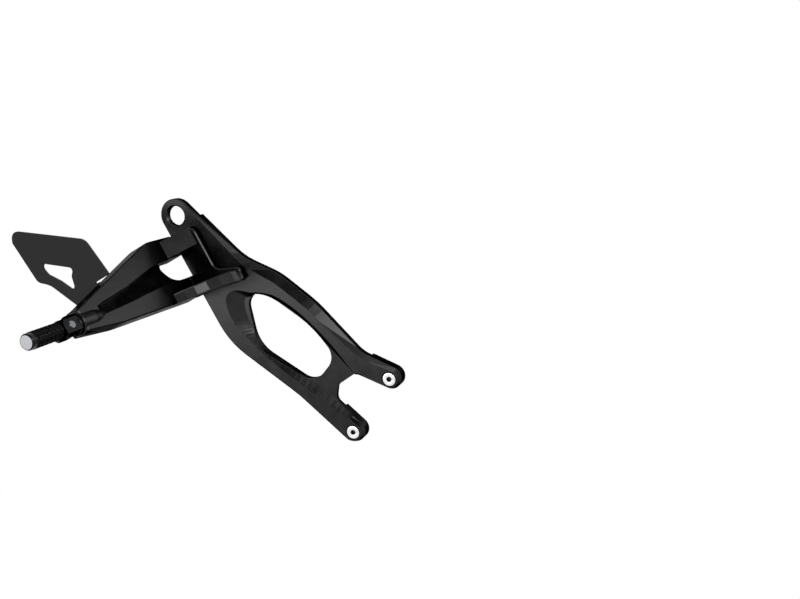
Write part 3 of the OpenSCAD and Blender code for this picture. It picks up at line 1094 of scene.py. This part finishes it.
@dataclass
class HeelGuard:
    """The bent sheet guard with its two screws and their washers."""

    screw_at: tuple[tuple[float, float], ...] = ((-30, 137), (-9, 137))
    arm_half: float = 12.0
    sheet_t: float = 2.5
    washer_t: float = 1.0
    screw: SocketScrew = SocketScrew(
        shank_d=5.0,
        head_d=9.25,
        head_h=2.75,
        length=11.5,
        pitch=0.8,
        socket=3.0,
        socket_depth=1.6,
        thread_length=6.0,
    )
    guard_finish: Finish = PowderCoat("matt_black_powder_coated_sheet", "#0c0c0d", 0.50)
    washer_finish: Finish = FormedMetal("stainless_steel_stamped_washer", "#a9abae", 0.32)

    def build(self) -> None:
        """Dresses the guard and its washers and makes the screws."""
        dress(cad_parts["heel_guard"], self.guard_finish)
        dress(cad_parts["guard_washers"], self.washer_finish)
        back = Drawing(
            ARM_DRAWING.origin,
            ARM_DRAWING.x_axis,
            ARM_DRAWING.z_axis,
            tuple(-c for c in ARM_DRAWING.y_axis),
        )
        for number, (s, t) in enumerate(self.screw_at, 1):
            place = back.shifted(s, t, self.arm_half + self.sheet_t + self.washer_t)
            steel = TurnedMetal(
                f"stainless_steel_turned_guard_screw_{number}", "#c9cacc", 0.22
            )
            piece = self.screw.make(f"guard_screw_{number}", place, steel)
            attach(piece, Body.BRACKET.value)
            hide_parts("guard_screws")


@dataclass
class Hinge:
    """The clevis at the arm's tip, its detent, its pin and the small pieces round them."""

    pivot_t: float = 246.0
    tongue_r: float = 8.0
    ball_d: float = 5.0
    # From the tongue to the block and to the ball, and the depth of the ball's bore
    block_gap: float = 0.6
    ball_gap: float = 0.3
    bore_depth: float = 16.0
    # The ball sits this far into the spring's last coil
    ball_in_spring: float = 0.55
    coil_share: float = 0.68
    wire_d: float = 0.7
    coils: float = 8.0
    block_finish: Finish = BlastedAnodising(
        "black_anodised_aluminium_satin_hinge",
        "#1b1b1b",
        0.24,
        Lie.DOWN_SLOPE,
        grain_mm=0.5,
        line_mm=4.74,
        edge_mm=0.4,
    )

    def build(self) -> None:
        """Dresses the hinge's nodes and makes the detent spring."""
        pin_axis = Drawing(
            ARM_DRAWING.origin, ARM_DRAWING.x_axis, ARM_DRAWING.z_axis, ARM_DRAWING.y_axis
        ).shifted(0, self.pivot_t, 0)
        finishes = {
            "hinge_block": self.block_finish,
            "pivot_pin": TurnedMetal(
                "black_oxided_steel_ground_pin", "#4a4b4d", 0.16, pin_axis
            ),
            "pin_circlip": FormedMetal("spring_steel_stamped_circlip", "#55575a", 0.35),
            "thrust_washers": FormedMetal("tin_bronze_rolled_washer", "#b98a55", 0.34),
            "detent_ball": TurnedMetal(
                "bearing_steel_lapped_ball", "#c9cbce", 0.10, pin_axis
            ),
            "hinge_set_screw": FormedMetal("blackened_steel_set_screw", "#37383a", 0.42),
        }
        for node, finish in finishes.items():
            dress(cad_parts[node], finish)
        tongue_end = self.pivot_t - self.tongue_r
        foot = tongue_end - self.block_gap - self.bore_depth
        top = tongue_end - self.ball_gap - self.ball_d + self.ball_in_spring
        coil_d = self.ball_d * self.coil_share
        spring = CoilSpring(coil_d, self.wire_d, top - foot, self.coils)
        piece = spring.make("detent_coil_spring", ARM_DRAWING.shifted(0, 0, foot))
        dress(piece, FormedMetal("spring_steel_coiled_wire", "#8d8f92", 0.28))
        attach(piece, Body.BRACKET.value)
        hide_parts("detent_spring")


@dataclass
class Peg:
    """The ribbed peg that folds up, with its bright cap."""

    pivot_t: float = 246.0
    peg_len: float = 50.0
    peg_d: float = 18.0
    cap_t: float = 6.0
    # How far the dyed rim reaches in from the cap's side and down from its face
    cap_rim_w: float = 1.9
    cap_rim_h: float = 0.9
    peg_finish: Finish = BlastedAnodising(
        "black_anodised_aluminium_ribbed_peg",
        "#191919",
        0.30,
        Lie.ROUND,
        worn_hue="#4c4d4f",
        edge_mm=0.3,
        line_strength=0.02,
        grain_strength=0.04,
    )

    def build(self) -> None:
        """Dresses the peg and its cap."""
        axis = ARM_DRAWING.shifted(0, 0, self.pivot_t)
        dress(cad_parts["peg_body"], self.peg_finish)
        dress(
            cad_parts["peg_end_cap"],
            TurnedMetal(
                "aluminium_anodised_and_faced_cap",
                "#747577",
                0.28,
                axis,
                ring_mm=2.369,
                dark=self.cap_rim(),
            ),
        )

    def cap_rim(self) -> DarkPart:
        """Gives the dyed rim round the cap's bright face.

        Returns:
            All of the cap but its face, in the drawing of the peg's axis.
        """
        face_r = self.peg_d / 2 - self.cap_rim_w
        face_floor = self.peg_len + self.cap_t - self.cap_rim_h
        return DarkPart(face_r, face_floor, False, "#1d1e20")


# ---------------------------------------------------------------- studio


def facing(centre: Vector, aim: Vector) -> Matrix:
    """Gives the turn that points a lamp or a card from its centre at what it serves."""
    return (aim - centre).normalized().to_track_quat("-Z", "Y").to_matrix()


@dataclass(frozen=True)
class SoftBox:
    """A rectangular studio lamp."""

    name: str
    centre: Point
    aim: Point
    size: tuple[float, float]
    level: float

    def make(self) -> None:
        """Makes the lamp. Its level is the brightness of its face, where 1 is white."""
        lamp = bpy.data.lights.new(self.name, "AREA")
        lamp.shape = "RECTANGLE"
        lamp.size, lamp.size_y = (side * MM for side in self.size)
        lamp.energy = self.level * math.pi * lamp.size * lamp.size_y
        holder = bpy.data.objects.new(self.name, lamp)
        centre = Vector(self.centre) * MM
        turn = facing(centre, Vector(self.aim) * MM)
        holder.matrix_world = Matrix.Translation(centre) @ turn.to_4x4()
        bpy.context.scene.collection.objects.link(holder)
        log.info("lamp %s", self.name)


@dataclass
class Studio:
    """Camera, lamps, floor, black card and white surroundings."""

    camera_at: Point = (347.8, -964.3, 331.1)
    camera_right: Point = (0.9427, 0.3335, 0.0)
    camera_up: Point = (-0.0758, 0.2142, 0.9739)
    camera_sees: tuple[float, float] = (20.0, 20000.0)
    lens: float = 40.5
    sensor: float = 36.0
    lamps: list[SoftBox] = field(
        default_factory=lambda: [
            SoftBox("overhead_softbox", (-150, 350, 1500), (-150, 0, 50), (1600, 700), 2.6),
            SoftBox("low_front_softbox", (-900, -1500, -250), (-150, 0, 60), (1100, 1000), 4.3),
            SoftBox("back_softbox", (-500, 1500, 900), (-150, 0, 100), (1400, 700), 1.9),
            SoftBox("back_right_softbox", (800, 1500, 650), (-230, -100, 120), (800, 800), 3.4),
            SoftBox("bevel_softbox", (623, -907, 710), (-70, -20, 60), (480, 520), 9.0),
        ]
    )
    card_at: Point = (-56, -867, 918)
    card_aim: Point = (-150, -20, 60)
    card_size: tuple[float, float] = (860, 560)
    floor_at: Point = (-150.0, 0.0, -330.0)
    floor_r: float = 2500.0
    floor_sides: int = 96
    # Distances from the floor's middle where it starts to fade and is gone
    floor_fade: tuple[float, float] = (200, 620)
    # The surroundings are white to look at but light the part less than that
    white_level: float = 1.0
    soft_level: float = 0.6

    def build(self) -> None:
        """Sets up the whole studio."""
        self.camera()
        self.world()
        self.floor()
        self.card()
        for lamp in self.lamps:
            lamp.make()

    def camera(self) -> None:
        """Makes the camera at the photograph's viewing angle."""
        data = bpy.data.cameras.new("photo_camera")
        data.sensor_width, data.lens = self.sensor, self.lens
        data.clip_start, data.clip_end = (distance * MM for distance in self.camera_sees)
        right, up = Vector(self.camera_right).normalized(), Vector(self.camera_up).normalized()
        back = right.cross(up).normalized()
        up = back.cross(right)
        rows = [[right[i], up[i], back[i], self.camera_at[i] * MM] for i in range(3)]
        holder = bpy.data.objects.new("photo_camera", data)
        holder.matrix_world = Matrix(rows + [[0, 0, 0, 1]])
        bpy.context.scene.collection.objects.link(holder)
        bpy.context.scene.camera = holder

    def seen(self, tree: bpy.types.NodeTree) -> Link:
        """Adds a mask that is 1 for what the camera, a mirror or glass looks at.

        Args:
            tree: Node tree of the world or of the floor.

        Returns:
            The mask and its output.
        """
        path = add(tree, "ShaderNodeLightPath")
        two = add(
            tree,
            "ShaderNodeMath",
            links={0: (path, "Is Camera Ray"), 1: (path, "Is Glossy Ray")},
            operation="MAXIMUM",
        )
        three = add(
            tree,
            "ShaderNodeMath",
            links={0: (two, "Value"), 1: (path, "Is Transmission Ray")},
            operation="MAXIMUM",
        )
        return (three, "Value")

    def world(self) -> None:
        """Sets plain white surroundings that light the part only softly."""
        world = bpy.data.worlds.new("white_surroundings")
        bpy.context.scene.world = world
        world.use_nodes = True
        tree = world.node_tree
        tree.nodes.clear()
        soft, white = (
            add(tree, "ShaderNodeBackground", {"Color": linear("#ffffff"), "Strength": level})
            for level in (self.soft_level, self.white_level)
        )
        mix = add(
            tree,
            "ShaderNodeMixShader",
            links={0: self.seen(tree), 1: (soft, "Background"), 2: (white, "Background")},
        )
        add(tree, "ShaderNodeOutputWorld", links={"Surface": (mix, "Shader")})

    def floor(self) -> None:
        """Makes a pale floor that fades into the white surroundings."""
        centre = Vector(self.floor_at) * MM
        turns = [2 * math.pi * k / self.floor_sides for k in range(self.floor_sides)]
        reach = self.floor_r * MM
        points = [
            (centre.x + reach * math.cos(turn), centre.y + reach * math.sin(turn), centre.z)
            for turn in turns
        ]
        piece = new_piece("studio_floor", points, [tuple(range(self.floor_sides))])
        paint = bpy.data.materials.new("matt_white_painted_floor")
        paint.use_nodes = True
        tree = paint.node_tree
        tree.nodes.clear()
        matt = add(tree, "ShaderNodeBsdfDiffuse", {"Color": linear("#fdfdfd")})
        white = add(
            tree,
            "ShaderNodeEmission",
            {"Color": linear("#ffffff"), "Strength": self.white_level},
        )
        far = add(
            tree,
            "ShaderNodeVectorMath",
            {1: tuple(centre)},
            {0: (add(tree, "ShaderNodeTexCoord"), "Object")},
            operation="DISTANCE",
        )
        fade = add(
            tree,
            "ShaderNodeMapRange",
            {"From Min": self.floor_fade[0] * MM, "From Max": self.floor_fade[1] * MM},
            {"Value": (far, "Value")},
            interpolation_type="SMOOTHSTEP",
        )
        share = add(
            tree,
            "ShaderNodeMath",
            links={0: (fade, "Result"), 1: self.seen(tree)},
            operation="MULTIPLY",
        )
        mix = add(
            tree,
            "ShaderNodeMixShader",
            links={0: (share, "Value"), 1: (matt, "BSDF"), 2: (white, "Emission")},
        )
        # From below, the floor lets the eye through to the part's underside
        side = add(tree, "ShaderNodeNewGeometry")
        clear = add(tree, "ShaderNodeBsdfTransparent")
        one_sided = add(
            tree,
            "ShaderNodeMixShader",
            links={0: (side, "Backfacing"), 1: (mix, "Shader"), 2: (clear, "BSDF")},
        )
        add(tree, "ShaderNodeOutputMaterial", links={"Surface": (one_sided, "Shader")})
        piece.data.materials.append(paint)

    def card(self) -> None:
        """Hangs the black card that the plate's wide bevel mirrors. Only mirrors see it."""
        centre = Vector(self.card_at) * MM
        turn = facing(centre, Vector(self.card_aim) * MM)
        wide, high = (side * MM / 2 for side in self.card_size)
        points = [
            tuple(centre + turn @ Vector((x * wide, y * high, 0)))
            for x, y in ((-1, -1), (1, -1), (1, 1), (-1, 1))
        ]
        piece = new_piece("black_card", points, [(0, 1, 2, 3)])
        paint = bpy.data.materials.new("matt_black_card")
        paint.use_nodes = True
        shader = paint.node_tree.nodes["Principled BSDF"]
        shader.inputs["Base Color"].default_value = linear("#101010")
        shader.inputs["Roughness"].default_value = 0.9
        piece.data.materials.append(paint)
        piece.visible_camera = False
        piece.visible_shadow = False
        piece.visible_diffuse = False


def main() -> None:
    """Builds the studio and the sub-assemblies in order."""
    logging.basicConfig(level=logging.INFO, format="%(message)s")
    bpy.context.scene.view_settings.view_transform = "Standard"
    assemblies = [Studio(), SidePlate(), PegArm(), HeelGuard(), Hinge(), Peg()]
    for assembly in assemblies:
        assembly.build()
        log.info("%s built", type(assembly).__name__)
    bpy.context.view_layer.update()


if __name__ == "__main__":
    main()
